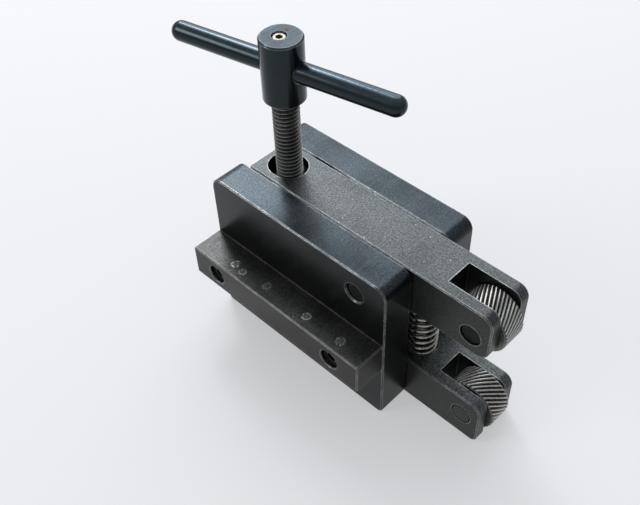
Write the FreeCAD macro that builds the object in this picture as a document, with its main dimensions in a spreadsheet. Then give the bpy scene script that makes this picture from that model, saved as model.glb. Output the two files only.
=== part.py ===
import FreeCAD, Part
import math
import os

import Sketcher

# Clamp-type knurling tool: two forked arms swing between two cheeks, and a screw at the handle
# end spreads the arms' tails, which closes the two knurl wheels on the work.
#
# Frame: the origin is the middle of the shank bar's underside, the face that lies on the tool
# post. +X runs along the arms to the wheels, +Y from the shank to the rear cheek, +Z up.

SIZES = {  # millimetres, apart from names that end in _angle, which are degrees
    "cheek_length": 81.0,
    "cheek_height": 64.2,
    "front_cheek_thickness": 12.7,
    "rear_cheek_thickness": 12.0,
    "cheek_corner_radius": 4.5,
    "cheek_foot_radius": 1.8,
    "edge_break": 0.4,
    "shank_length": 80.5,
    "shank_width": 12.4,
    "shank_height": 12.7,
    "shank_underside_height": 25.4,  # above the cheeks' feet
    "tie_rear_station": 11.6,  # from the cheeks' handle end
    "tie_front_station": 67.7,
    "tie_screw_diameter": 4.2,
    "tie_head_diameter": 6.9,
    "tie_head_height": 4.2,
    "tie_socket_flats": 3.6,
    "tie_socket_depth": 2.2,
    "tie_hole_diameter": 4.6,
    "tie_counterbore_diameter": 7.4,
    "tie_counterbore_depth": 5.7,
    "tie_end_recess": 1.5,
    "counterbore_chamfer": 0.3,
    "sleeve_diameter": 11.1,
    "arm_width": 19.05,
    "arm_height": 19.05,
    "arm_side_clearance": 0.2,
    "arm_foot_clearance": 0.15,
    "arm_tail": 61.8,  # from the pivot to the arm's handle end
    "arm_nose": 7.25,  # from the wheel's axis to the fork's end
    "nose_radius": 4.1,
    "lower_nose_bottom_radius": 2.3,
    "pivot_station": 67.8,  # from the cheeks' handle end
    "pivot_pin_diameter": 7.14,
    "pivot_pin_recess": 1.0,
    "pivot_hole_chamfer": 0.5,  # at the cheeks' outer faces
    "running_clearance": 0.05,  # radial
    "fork_depth": 20.1,
    "fork_slot_width": 10.4,
    "upper_wheel_reach": 36.45,  # from the pivot to the wheel's axis
    "upper_wheel_offset": 2.1,  # from the arm's middle towards the other arm
    "lower_wheel_reach": 37.5,
    "lower_wheel_offset": 0.85,
    "wheel_diameter": 19.8,
    "wheel_width": 9.5,
    "wheel_bevel": 0.5,
    "wheel_pin_diameter": 7.94,
    "wheel_pin_chamfer": 0.5,
    "upper_wheel_pin_recess": 0.7,
    "upper_knurl_pitch": 1.3,  # square to the teeth
    "lower_knurl_pitch": 1.4,
    "knurl_depth": 0.6,
    "knurl_land": 0.3,
    "upper_knurl_angle": 28.0,
    "lower_knurl_angle": 38.0,
    "pin_chamfer": 0.4,
    "spring_lever": 12.0,  # from the pivot to the spring's axis
    "spring_diameter": 11.3,
    "spring_wire": 1.3,
    "spring_end_clearance": 0.1,
    "spring_pitch": 3.1,
    "spring_pocket_diameter": 12.0,
    "spring_pocket_depth": 4.0,
    "screw_lever": 51.2,  # from the pivot to the screw's axis
    "screw_diameter": 9.525,
    "screw_slot_length": 15.1,
    "screw_slot_width": 13.4,
    "screw_slot_lead": 0.8,
    "barrel_diameter": 14.3,
    "barrel_recess": 0.225,  # each end, under the arm's side
    "screw_tip_diameter": 7.2,
    "screw_tip_length": 7.6,
    "hub_diameter": 14.7,
    "hub_height": 22.9,
    "hub_lift": 29.7,  # from the upper arm's top to the hub
    "hub_chamfer": 0.5,
    "hub_thread_depth": 8.0,
    "bar_diameter": 7.14,
    "bar_length": 89.4,
    "bar_height_in_hub": 11.9,
    "bar_angle": 11.35,  # from +X towards +Y
    "set_screw_diameter": 4.83,
    "set_screw_chamfer": 0.4,
    "set_screw_recess": 0.5,
    "set_screw_offset": 0.65,  # from the hub's axis, along the bar
    "set_hole_chamfer": 0.2,
    "set_socket_flats": 2.3,
    "set_socket_depth": 2.8,
}

TOOTH_STRETCHES = 4  # straight stretches along each knurl tooth, between the bevels
SPRING_WIRE_SIDES = 8

HANDLE_END_X = "(-Sizes.shank_length / 2)"
FEET_Z = "(-Sizes.shank_underside_height)"
FRONT_FACE_Y = "(Sizes.shank_width / 2)"
CHEEK_GAP = "(Sizes.arm_width + 2 * Sizes.arm_side_clearance)"
INNER_FACE_Y = f"({FRONT_FACE_Y} + Sizes.front_cheek_thickness)"
REAR_CHEEK_Y = f"({INNER_FACE_Y} + {CHEEK_GAP})"
ARM_Y = f"({INNER_FACE_Y} + {CHEEK_GAP} / 2)"
PIVOT_X = f"({HANDLE_END_X} + Sizes.pivot_station)"
UPPER_PIVOT_RISE = "(Sizes.cheek_height - Sizes.arm_height / 2)"
LOWER_PIVOT_RISE = "(Sizes.arm_foot_clearance + Sizes.arm_height / 2)"
UPPER_PIVOT_Z = f"({FEET_Z} + {UPPER_PIVOT_RISE})"
LOWER_PIVOT_Z = f"({FEET_Z} + {LOWER_PIVOT_RISE})"
TIE_RISE = "(Sizes.shank_underside_height + Sizes.shank_height / 2)"
SCREW_X = f"({PIVOT_X} - Sizes.screw_lever)"
BARREL_LENGTH = "(Sizes.arm_width - 2 * Sizes.barrel_recess)"
HUB_Z = f"({FEET_Z} + Sizes.cheek_height + Sizes.hub_lift)"
SET_SCREW_X = "(-Sizes.set_screw_offset)"  # in the hub's own frame, whose +X is the bar

doc = FreeCAD.newDocument("KnurlingTool")
sheet = doc.addObject("Spreadsheet::Sheet", "Sizes")
for row, (alias, size) in enumerate(SIZES.items(), start=1):
    sheet.set(f"A{row}", alias)
    sheet.set(f"B{row}", str(size))
    sheet.setAlias(f"B{row}", alias)
doc.recompute()

sub_parts = []


def value(expression):
    """The number that an expression over the sheet's cells gives."""
    return float(sheet.evalExpression(expression))


def vector(x, y, z=0.0):
    return FreeCAD.Vector(x, y, z)


def named(thing, label, x="0", y="0", z="0", turn=None):
    """Keeps thing as the sub-part label, placed at x, y, z and turned by an (axis, angle) pair."""
    thing.Label = label
    if turn:
        thing.Placement.Rotation = FreeCAD.Rotation(*turn)
    for axis, expression in zip("xyz", (x, y, z)):
        thing.setExpression(f"Placement.Base.{axis}", expression)
    sub_parts.append(thing)
    return thing


ALONG_Y = (vector(1, 0, 0), -90)  # turns a piece's own +Z to +Y
ALONG_X = (vector(0, 1, 0), 90)


def sketch_on(body, plane, height="0"):
    """An empty sketch on one of the body's own planes, lifted along the plane's normal."""
    sketch = body.newObject("Sketcher::SketchObject", "Sketch")
    origin_plane = next(f for f in body.Origin.OriginFeatures if f.Role == plane)
    sketch.AttachmentSupport = [(origin_plane, "")]
    sketch.MapMode = "FlatFace"
    if height != "0":
        sketch.setExpression("AttachmentOffset.Base.z", height)
    return sketch


def pin_point(sketch, geometry, point, x, y):
    """Holds a point of the sketch at x, y, each an expression."""
    for kind, expression, axis in (("DistanceX", x, -2), ("DistanceY", y, -1)):
        if expression == "0":
            sketch.addConstraint(Sketcher.Constraint("PointOnObject", geometry, point, axis))
        else:
            size = value(expression)
            index = sketch.addConstraint(Sketcher.Constraint(kind, -1, 1, geometry, point, size))
            sketch.setExpression(f"Constraints[{index}]", expression)


def add_polygon(sketch, corners):
    """A closed outline through corners, each a pair of expressions."""
    points = [vector(value(x), value(y)) for x, y in corners]
    first = sketch.GeometryCount
    count = len(points)
    for i in range(count):
        sketch.addGeometry(Part.LineSegment(points[i], points[(i + 1) % count]), False)
    for i in range(count):
        after = first + (i + 1) % count
        sketch.addConstraint(Sketcher.Constraint("Coincident", first + i, 2, after, 1))
    for i, (x, y) in enumerate(corners):
        pin_point(sketch, first + i, 1, x, y)


def add_circle(sketch, x, y, diameter):
    """A circle about x, y, with its diameter as an expression."""
    circle = Part.Circle(vector(value(x), value(y)), vector(0, 0, 1), value(diameter) / 2)
    index = sketch.addGeometry(circle, False)
    pin_point(sketch, index, 3, x, y)
    size = sketch.addConstraint(Sketcher.Constraint("Diameter", index, value(diameter)))
    sketch.setExpression(f"Constraints[{size}]", diameter)


def add_slot(sketch, x, length, width):
    """A round-ended slot along the sketch's own x axis, centred on x, 0."""
    radius = value(width) / 2
    half = value(length) / 2 - radius
    middle = value(x)
    far = vector(middle + half, 0)
    near = vector(middle - half, 0)
    up = vector(0, 1)
    quarter = math.pi / 2
    arcs = (
        Part.ArcOfCircle(Part.Circle(far, vector(0, 0, 1), radius), -quarter, quarter),
        Part.LineSegment(far + up * radius, near + up * radius),
        Part.ArcOfCircle(Part.Circle(near, vector(0, 0, 1), radius), quarter, 3 * quarter),
        Part.LineSegment(near - up * radius, far - up * radius),
    )
    for piece in arcs:
        sketch.addGeometry(piece, False)
    for a, a_end, b, b_end in ((0, 2, 1, 1), (1, 2, 2, 1), (2, 2, 3, 1), (3, 2, 0, 1)):
        sketch.addConstraint(Sketcher.Constraint("Tangent", a, a_end, b, b_end))
    pin_point(sketch, 0, 3, f"{x} + ({length} - {width}) / 2", "0")
    pin_point(sketch, 2, 3, f"{x} - ({length} - {width}) / 2", "0")
    size = sketch.addConstraint(Sketcher.Constraint("Radius", 0, radius))
    sketch.setExpression(f"Constraints[{size}]", f"{width} / 2")


def pad(body, sketch, length, side="Symmetric", reverse=False):
    feature = body.newObject("PartDesign::Pad", "Pad")
    feature.Profile = sketch
    feature.SideType = side
    feature.Reversed = reverse
    feature.setExpression("Length", length)
    doc.recompute()
    return feature


def pocket(body, sketch, depth=None, side="One side", reverse=False):
    """Cuts the sketch into the body, right through it if no depth is given."""
    before = body.Shape.Volume
    feature = body.newObject("PartDesign::Pocket", "Pocket")
    feature.Profile = sketch
    feature.SideType = side
    feature.Reversed = reverse
    if depth is None:
        feature.Type = "ThroughAll"
    else:
        feature.Type = "Length"
        feature.setExpression("Length", depth)
    doc.recompute()
    if body.Shape.Volume >= before:
        raise RuntimeError(f"{body.Label}: a pocket cuts nothing")
    return feature


def edges_where(shape, wanted):
    """The names of the edges for which wanted(edge) is true."""
    return [f"Edge{i}" for i, edge in enumerate(shape.Edges, start=1) if wanted(edge)]


def dress(body, kind, wanted, size):
    """A Fillet or Chamfer of the size, an expression, on the edges that wanted picks."""
    base = body.Tip
    names = edges_where(base.Shape, wanted)
    if not names:
        raise RuntimeError(f"{body.Label}: no edge to dress")
    feature = body.newObject(f"PartDesign::{kind}", kind)
    feature.Base = (base, names)
    feature.setExpression("Radius" if kind == "Fillet" else "Size", size)
    doc.recompute()
    return feature


def edge_at(x=None, y=None, z=None):
    """A test for edges whose every point has the given coordinates."""
    def test(edge):
        box = edge.BoundBox
        spans = ((x, box.XMin, box.XMax), (y, box.YMin, box.YMax), (z, box.ZMin, box.ZMax))
        return all(
            at is None or max(abs(low - at), abs(high - at)) < 1e-4 for at, low, high in spans
        )
    return test


def any_of(*tests):
    return lambda edge: any(test(edge) for test in tests)


def rim_of(diameter, at_face):
    """A test for the round edges of the diameter, an expression, among those at_face picks."""
    radius = value(diameter) / 2
    return lambda edge: (
        isinstance(edge.Curve, Part.Circle) and abs(edge.Curve.Radius - radius) < 1e-4
        and at_face(edge)
    )


def turned(name, outline):
    """A body turned about its own Z axis from (radius, height) corners."""
    body = doc.addObject("PartDesign::Body", name)
    sketch = sketch_on(body, "XZ_Plane")
    add_polygon(sketch, outline)
    feature = body.newObject("PartDesign::Revolution", "Revolution")
    feature.Profile = sketch
    feature.ReferenceAxis = (sketch, ["V_Axis"])
    feature.Angle = 360
    doc.recompute()
    return body


def chamfered_rod(name, diameter, length, chamfer):
    """A turned rod, centred on its own origin, with both ends chamfered."""
    radius = f"({diameter}) / 2"
    end = f"({length}) / 2"
    return turned(name, [
        ("0", f"-{end}"),
        (f"{radius} - {chamfer}", f"-{end}"),
        (radius, f"-{end} + {chamfer}"),
        (radius, f"{end} - {chamfer}"),
        (f"{radius} - {chamfer}", end),
        ("0", end),
    ])


def cylinder(name, radius, height, x="0", y="0", z="0", turn=None):
    """A plain cylinder, its sizes and place given as expressions."""
    rod = doc.addObject("Part::Cylinder", name)
    rod.setExpression("Radius", radius)
    rod.setExpression("Height", height)
    if turn:
        rod.Placement.Rotation = FreeCAD.Rotation(*turn)
    for axis, expression in zip("xyz", (x, y, z)):
        rod.setExpression(f"Placement.Base.{axis}", expression)
    return rod


def hexagon(name, flats, height, x="0", y="0", z="0", turn=None):
    """A hexagonal prism, for a socket."""
    prism = doc.addObject("Part::Prism", name)
    prism.Polygon = 6
    prism.setExpression("Circumradius", f"{flats} / sqrt(3)")
    prism.setExpression("Height", height)
    if turn:
        prism.Placement.Rotation = FreeCAD.Rotation(*turn)
    for axis, expression in zip("xyz", (x, y, z)):
        prism.setExpression(f"Placement.Base.{axis}", expression)
    return prism


def minus(base, tool):
    """base with tool cut away."""
    cut = doc.addObject("Part::Cut", "Cut")
    cut.Base = base
    cut.Tool = tool
    return cut


def fused(*shapes):
    """The shapes joined into one solid."""
    joined = doc.addObject("Part::MultiFuse", "Fuse")
    joined.Shapes = list(shapes)
    joined.Refine = True
    return joined


def compound(*shapes):
    """The shapes kept as separate solids of one sub-part."""
    group = doc.addObject("Part::Compound", "Compound")
    group.Links = list(shapes)
    return group


# ---- cheeks and shank ------------------------------------------------------------------------

def make_cheek(label, thickness, y, outer_y, screw_holes):
    """A side plate, outer face at outer_y. screw_holes are (station, diameter) pairs."""
    body = doc.addObject("PartDesign::Body", label)
    sketch = sketch_on(body, "XZ_Plane")
    length, height = "Sizes.cheek_length", "Sizes.cheek_height"
    add_polygon(sketch, [("0", "0"), (length, "0"), (length, height), ("0", height)])
    pad(body, sketch, thickness, side="One side", reverse=True)
    ends = (0.0, value(length))
    top = value(height)
    dress(body, "Fillet", any_of(*(edge_at(x=x, z=top) for x in ends)), "Sizes.cheek_corner_radius")
    dress(body, "Fillet", any_of(*(edge_at(x=x, z=0.0) for x in ends)), "Sizes.cheek_foot_radius")
    sides = any_of(edge_at(y=0.0), edge_at(y=value(thickness)))
    dress(body, "Chamfer", sides, "Sizes.edge_break")
    holes = sketch_on(body, "XZ_Plane")
    for rise in (UPPER_PIVOT_RISE, LOWER_PIVOT_RISE):
        add_circle(holes, "Sizes.pivot_station", rise, "Sizes.pivot_pin_diameter")
    for station, diameter in screw_holes:
        add_circle(holes, station, TIE_RISE, diameter)
    pocket(body, holes, side="Symmetric")
    mouths = rim_of("Sizes.pivot_pin_diameter", edge_at(y=value(outer_y)))
    dress(body, "Chamfer", mouths, "Sizes.pivot_hole_chamfer")
    named(body, label, HANDLE_END_X, y, FEET_Z)


def make_shank():
    """The bar that the tool post clamps, counterbored for the tie screws."""
    body = doc.addObject("PartDesign::Body", "shank_bar")
    half_length, half_width = "Sizes.shank_length / 2", "Sizes.shank_width / 2"
    sketch = sketch_on(body, "XY_Plane")
    add_polygon(sketch, [
        (f"-{half_length}", f"-{half_width}"),
        (half_length, f"-{half_width}"),
        (half_length, half_width),
        (f"-{half_length}", half_width),
    ])
    pad(body, sketch, "Sizes.shank_height", side="One side")
    front = edge_at(y=-value(half_width))
    ends = (edge_at(x=-value(half_length)), edge_at(x=value(half_length)))
    seam = edge_at(y=value(half_width))
    dress(
        body, "Chamfer",
        lambda edge: any_of(front, *ends)(edge) and not seam(edge), "Sizes.edge_break",
    )
    middle = "Sizes.shank_height / 2"
    stations = [
        f"{HANDLE_END_X} + {station}"
        for station in ("Sizes.tie_rear_station", "Sizes.tie_front_station")
    ]
    holes = sketch_on(body, "XZ_Plane")
    for station in stations:
        add_circle(holes, station, middle, "Sizes.tie_hole_diameter")
    pocket(body, holes, side="Symmetric")
    counterbores = sketch_on(body, "XZ_Plane", half_width)
    for station in stations:
        add_circle(counterbores, station, middle, "Sizes.tie_counterbore_diameter")
    pocket(body, counterbores, "Sizes.tie_counterbore_depth")
    dress(
        body, "Chamfer", rim_of("Sizes.tie_counterbore_diameter", front),
        "Sizes.counterbore_chamfer",
    )
    named(body, "shank_bar")


def make_shank_fastener(label, station, far_y):
    """A socket head screw, from the shank's counterbore at station to far_y."""
    seat_y = f"-{FRONT_FACE_Y} + Sizes.tie_counterbore_depth"
    head_y = f"({seat_y} - Sizes.tie_head_height)"
    place = (f"{HANDLE_END_X} + {station}", head_y, "Sizes.shank_height / 2", ALONG_Y)
    rod = cylinder(f"{label}_rod", "Sizes.tie_screw_diameter / 2", f"{far_y} - {head_y}", *place)
    head = cylinder(f"{label}_head", "Sizes.tie_head_diameter / 2", "Sizes.tie_head_height", *place)
    socket = hexagon(f"{label}_socket", "Sizes.tie_socket_flats", "Sizes.tie_socket_depth", *place)
    named(minus(fused(rod, head), socket), label)


def make_spacer_sleeve():
    """The sleeve on the tie screw that sets the gap in which the arms swing."""
    station = f"{HANDLE_END_X} + Sizes.tie_front_station"
    place = (station, INNER_FACE_Y, "Sizes.shank_height / 2", ALONG_Y)
    outer = cylinder("Sleeve", "Sizes.sleeve_diameter / 2", CHEEK_GAP, *place)
    bore = cylinder("SleeveBore", "Sizes.tie_hole_diameter / 2", CHEEK_GAP, *place)
    named(minus(outer, bore), "spacer_sleeve")


def make_pivot_pins():
    """One pin for each arm, pressed into both cheeks and short of their outer faces."""
    span = f"(Sizes.front_cheek_thickness + {CHEEK_GAP} + Sizes.rear_cheek_thickness)"
    length = f"({span} - 2 * Sizes.pivot_pin_recess)"
    middle_y = f"{FRONT_FACE_Y} + {span} / 2"
    for label, z in (("upper_pivot_pin", UPPER_PIVOT_Z), ("lower_pivot_pin", LOWER_PIVOT_Z)):
        pin = chamfered_rod(label, "Sizes.pivot_pin_diameter", length, "Sizes.pin_chamfer")
        named(pin, label, PIVOT_X, middle_y, z, ALONG_Y)


# ---- arms, wheels and their pins -------------------------------------------------------------

def make_arm(label, inner, reach, offset, z, bottom_radius):
    """A forked arm about its pivot. inner is +1 if the other arm is above it, -1 if below."""
    body = doc.addObject("PartDesign::Body", label)
    nose = f"({reach} + Sizes.arm_nose)"
    tail = "(-Sizes.arm_tail)"
    half_height, half_width = "Sizes.arm_height / 2", "Sizes.arm_width / 2"
    profile = sketch_on(body, "XZ_Plane")
    add_polygon(profile, [
        (tail, f"-{half_height}"), (nose, f"-{half_height}"), (nose, half_height), (tail, half_height),
    ])
    pad(body, profile, "Sizes.arm_width")
    nose_x, top = value(nose), value(half_height)
    dress(body, "Fillet", edge_at(x=nose_x, z=top), "Sizes.nose_radius")
    dress(body, "Fillet", edge_at(x=nose_x, z=-top), bottom_radius)
    side = value(half_width)
    dress(body, "Chamfer", any_of(edge_at(y=side), edge_at(y=-side)), "Sizes.edge_break")

    fork = sketch_on(body, "XY_Plane")
    fork_end = f"({nose} - Sizes.fork_depth)"
    half_slot = "Sizes.fork_slot_width / 2"
    beyond = f"({nose} + Sizes.arm_nose)"
    add_polygon(fork, [
        (fork_end, f"-{half_slot}"), (beyond, f"-{half_slot}"), (beyond, half_slot), (fork_end, half_slot),
    ])
    pocket(body, fork, side="Symmetric")

    bores = sketch_on(body, "XZ_Plane")
    add_circle(bores, "0", "0", "Sizes.pivot_pin_diameter + 2 * Sizes.running_clearance")
    add_circle(bores, reach, f"{inner} * {offset}", "Sizes.wheel_pin_diameter")
    barrel_bore = "Sizes.barrel_diameter + 2 * Sizes.running_clearance"
    add_circle(bores, "-Sizes.screw_lever", "0", barrel_bore)
    pocket(body, bores, side="Symmetric")

    # The tilting screw sweeps towards the pivot on the inner side of the barrel and away from it
    # on the outer side, so each side has its own slot. The lower arm is closed on the outside.
    slot_sizes = ("Sizes.screw_slot_length", "Sizes.screw_slot_width")
    inner_slot = sketch_on(body, "XY_Plane")
    add_slot(inner_slot, "(-Sizes.screw_lever + Sizes.screw_slot_lead)", *slot_sizes)
    pocket(body, inner_slot, reverse=inner > 0)
    if inner < 0:
        outer_slot = sketch_on(body, "XY_Plane")
        add_slot(outer_slot, "(-Sizes.screw_lever - Sizes.screw_slot_lead)", *slot_sizes)
        pocket(body, outer_slot, reverse=True)

    seat = sketch_on(body, "XY_Plane", f"{inner} * {half_height}")
    add_circle(seat, "Sizes.spring_lever", "0", "Sizes.spring_pocket_diameter")
    pocket(body, seat, "Sizes.spring_pocket_depth", reverse=inner < 0)
    named(body, label, PIVOT_X, ARM_Y, z)


def make_wheel_pin(label, recess, reach, offset, z):
    """A pin pressed into both prongs of a fork, short of the front one by recess."""
    length = f"(Sizes.arm_width - {recess})"
    pin = chamfered_rod(label, "Sizes.wheel_pin_diameter", length, "Sizes.wheel_pin_chamfer")
    named(pin, label, f"{PIVOT_X} + {reach}", f"{ARM_Y} + {recess} / 2", f"{z} + {offset}", ALONG_Y)


def knurl_section(height, crest, root, teeth, twist):
    """The corners of the toothed outline at a height, turned by twist, in radians."""
    step = 2 * math.pi / teeth
    land = value("Sizes.knurl_land") / crest
    corners = []
    for tooth in range(teeth):
        middle = tooth * step + twist
        for angle, radius in ((-land / 2, crest), (land / 2, crest), (step / 2, root)):
            corners.append(vector(
                radius * math.cos(middle + angle), radius * math.sin(middle + angle), height,
            ))
    return corners


def make_knurl_wheel(label, helix_angle, pitch, hand, reach, offset, z):
    """A bored wheel with slanting V teeth, bevelled at both rims. hand is +1 or -1."""
    radius = value("Sizes.wheel_diameter / 2")
    width, bevel = value("Sizes.wheel_width"), value("Sizes.wheel_bevel")
    root = radius - value("Sizes.knurl_depth")
    slant = math.radians(value(helix_angle))
    teeth = round(2 * math.pi * radius * math.cos(slant) / value(pitch))
    inner_width = width - 2 * bevel
    stations = [(0.0, radius - bevel)]
    stations += [
        (bevel + inner_width * i / TOOTH_STRETCHES, radius) for i in range(TOOTH_STRETCHES + 1)
    ]
    stations += [(width, radius - bevel)]
    sections = [
        knurl_section(height - width / 2, crest, root, teeth,
                      hand * (height - width / 2) * math.tan(slant) / radius)
        for height, crest in stations
    ]
    faces = []
    for lower, upper in zip(sections, sections[1:]):
        for i in range(len(lower)):
            j = (i + 1) % len(lower)
            faces.append(Part.makeRuledSurface(
                Part.makeLine(lower[i], lower[j]), Part.makeLine(upper[i], upper[j]),
            ))
    for rim in (sections[0], sections[-1]):
        faces.append(Part.Face(Part.makePolygon(rim + rim[:1])))
    blank = Part.Solid(Part.Shell(faces))
    if blank.Volume < 0:
        blank.reverse()
    bore = value("Sizes.wheel_pin_diameter / 2 + Sizes.running_clearance")
    hole = Part.makeCylinder(bore, 2 * width, vector(0, 0, -width))
    wheel = doc.addObject("Part::Feature", label)
    wheel.Shape = blank.cut(hole)
    named(wheel, label, f"{PIVOT_X} + {reach}", ARM_Y, f"{z} + {offset}", ALONG_Y)


def make_spring():
    """The coil spring that parts the arms, its ends in the pockets of both arms."""
    gap = f"({UPPER_PIVOT_Z} - {LOWER_PIVOT_Z} - Sizes.arm_height)"
    room = f"({gap} + 2 * Sizes.spring_pocket_depth)"
    length = f"({room} - Sizes.spring_wire - 2 * Sizes.spring_end_clearance)"
    coil_radius = "(Sizes.spring_diameter - Sizes.spring_wire) / 2"
    helix = doc.addObject("Part::Helix", "SpringAxis")
    helix.setExpression("Radius", coil_radius)
    helix.setExpression("Pitch", "Sizes.spring_pitch")
    helix.setExpression("Height", length)
    section = doc.addObject("Part::RegularPolygon", "SpringWire")
    section.Polygon = SPRING_WIRE_SIDES
    section.setExpression("Circumradius", "Sizes.spring_wire / 2")
    section.setExpression("Placement.Base.x", coil_radius)
    section.Placement.Rotation = FreeCAD.Rotation(*ALONG_Y)
    coil = doc.addObject("Part::Sweep", "Spring")
    coil.Sections = [section]
    coil.Spine = (helix, ["Edge1"])
    coil.Solid = True
    coil.Frenet = True
    middle_z = f"({UPPER_PIVOT_Z} + {LOWER_PIVOT_Z}) / 2"
    named(
        coil, "opening_spring",
        f"{PIVOT_X} + Sizes.spring_lever", ARM_Y, f"{middle_z} - {length} / 2",
    )


# ---- clamping screw --------------------------------------------------------------------------

def make_barrels():
    """The cross barrels: the upper one is the nut, the lower one holds the screw's tip."""
    rod_sizes = ("Sizes.barrel_diameter", BARREL_LENGTH, "Sizes.pin_chamfer")
    nut = chamfered_rod("clamp_nut", *rod_sizes)
    thread = sketch_on(nut, "XZ_Plane")
    add_circle(thread, "0", "0", "Sizes.screw_diameter + 2 * Sizes.running_clearance")
    pocket(nut, thread, side="Symmetric")
    named(nut, "clamp_nut", SCREW_X, ARM_Y, UPPER_PIVOT_Z, ALONG_Y)

    barrel = chamfered_rod("thrust_barrel", *rod_sizes)
    socket = sketch_on(barrel, "XZ_Plane")
    add_circle(socket, "0", "0", "Sizes.screw_tip_diameter + 2 * Sizes.running_clearance")
    pocket(barrel, socket, reverse=True)
    named(barrel, "thrust_barrel", SCREW_X, ARM_Y, LOWER_PIVOT_Z, ALONG_Y)


def make_clamp_screw():
    """The threaded rod, with a plain tip that turns in the thrust barrel."""
    tip, rod = "Sizes.screw_tip_diameter / 2", "Sizes.screw_diameter / 2"
    top = f"({HUB_Z} + Sizes.hub_thread_depth - {LOWER_PIVOT_Z})"
    chamfer = "Sizes.pin_chamfer"
    screw = turned("clamp_screw", [
        ("0", "0"),
        (f"{tip} - {chamfer}", "0"),
        (tip, chamfer),
        (tip, "Sizes.screw_tip_length"),
        (f"{rod} - {chamfer}", "Sizes.screw_tip_length"),
        (rod, f"Sizes.screw_tip_length + {chamfer}"),
        (rod, f"{top} - {chamfer}"),
        (f"{rod} - {chamfer}", top),
        ("0", top),
    ])
    named(screw, "clamp_screw", SCREW_X, ARM_Y, LOWER_PIVOT_Z)


def make_handle():
    """The hub on the screw's top, the tommy bar through it and the set screw that holds it."""
    radius, chamfer, height = "Sizes.hub_diameter / 2", "Sizes.hub_chamfer", "Sizes.hub_height"
    hub = turned("handle_hub", [
        ("0", "0"),
        (f"{radius} - {chamfer}", "0"),
        (radius, chamfer),
        (radius, f"{height} - {chamfer}"),
        (f"{radius} - {chamfer}", height),
        ("0", height),
    ])
    thread = sketch_on(hub, "XY_Plane")
    add_circle(thread, "0", "0", "Sizes.screw_diameter")
    pocket(hub, thread, "Sizes.hub_thread_depth", reverse=True)
    set_hole = sketch_on(hub, "XY_Plane", height)
    add_circle(set_hole, SET_SCREW_X, "0", "Sizes.set_screw_diameter")
    pocket(hub, set_hole, "Sizes.hub_height - Sizes.bar_height_in_hub")
    mouth = rim_of("Sizes.set_screw_diameter", edge_at(z=value(height)))
    dress(hub, "Chamfer", mouth, "Sizes.set_hole_chamfer")
    cross = sketch_on(hub, "YZ_Plane")
    add_circle(cross, "0", "Sizes.bar_height_in_hub", "Sizes.bar_diameter")
    pocket(hub, cross, side="Symmetric")
    bar_turn = (vector(0, 0, 1), value("Sizes.bar_angle"))
    named(hub, "handle_hub", SCREW_X, ARM_Y, HUB_Z, bar_turn)

    bar_radius = "Sizes.bar_diameter / 2"
    straight = "(Sizes.bar_length - Sizes.bar_diameter)"
    rod = cylinder("BarRod", bar_radius, straight, f"-{straight} / 2", turn=ALONG_X)
    ends = []
    for name, sign in (("BarNearEnd", "-1"), ("BarFarEnd", "1")):
        ball = doc.addObject("Part::Sphere", name)
        ball.setExpression("Radius", bar_radius)
        ball.setExpression("Placement.Base.x", f"{sign} * {straight} / 2")
        ends.append(ball)
    bar_z = f"{HUB_Z} + Sizes.bar_height_in_hub"
    named(fused(rod, *ends), "tommy_bar", SCREW_X, ARM_Y, bar_z, bar_turn)

    bar_top = "(Sizes.bar_height_in_hub + Sizes.bar_diameter / 2)"
    length = f"(Sizes.hub_height - Sizes.set_screw_recess - {bar_top})"
    stud = chamfered_rod(
        "SetScrewRod", "Sizes.set_screw_diameter", length, "Sizes.set_screw_chamfer",
    )
    stud.setExpression("Placement.Base.x", SET_SCREW_X)
    socket = hexagon(
        "SetScrewSocket", "Sizes.set_socket_flats", "Sizes.set_socket_depth",
        x=SET_SCREW_X, z=f"{length} / 2 - Sizes.set_socket_depth",
    )
    middle_z = f"{HUB_Z} + {bar_top} + {length} / 2"
    named(minus(stud, socket), "hub_set_screw", SCREW_X, ARM_Y, middle_z, bar_turn)


REAR, FRONT = "Sizes.tie_rear_station", "Sizes.tie_front_station"
make_cheek("front_cheek", "Sizes.front_cheek_thickness", FRONT_FACE_Y, "0", [
    (REAR, "Sizes.tie_screw_diameter"), (FRONT, "Sizes.tie_hole_diameter"),
])
REAR_THICKNESS = "Sizes.rear_cheek_thickness"
make_cheek("rear_cheek", REAR_THICKNESS, REAR_CHEEK_Y, REAR_THICKNESS, [
    (FRONT, "Sizes.tie_screw_diameter"),
])
make_shank()
make_shank_fastener("shank_screw", REAR, f"({INNER_FACE_Y} - Sizes.tie_end_recess)")
make_shank_fastener(
    "tie_screw", FRONT,
    f"({REAR_CHEEK_Y} + {REAR_THICKNESS} - Sizes.tie_end_recess)",
)
make_spacer_sleeve()
make_pivot_pins()

UPPER = ("Sizes.upper_wheel_reach", "Sizes.upper_wheel_offset", UPPER_PIVOT_Z)
LOWER = ("Sizes.lower_wheel_reach", "Sizes.lower_wheel_offset", LOWER_PIVOT_Z)
make_arm("upper_arm", -1, *UPPER, "Sizes.nose_radius")
make_arm("lower_arm", 1, *LOWER, "Sizes.lower_nose_bottom_radius")
make_wheel_pin("upper_wheel_pin", "Sizes.upper_wheel_pin_recess", UPPER[0], f"-1 * {UPPER[1]}", UPPER[2])
make_wheel_pin("lower_wheel_pin", "0", *LOWER)
make_knurl_wheel(
    "upper_knurl_wheel", "Sizes.upper_knurl_angle", "Sizes.upper_knurl_pitch", -1,
    UPPER[0], f"-1 * {UPPER[1]}", UPPER[2],
)
make_knurl_wheel(
    "lower_knurl_wheel", "Sizes.lower_knurl_angle", "Sizes.lower_knurl_pitch", 1, *LOWER,
)
make_spring()
make_barrels()
make_clamp_screw()
make_handle()
doc.recompute()

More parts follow.
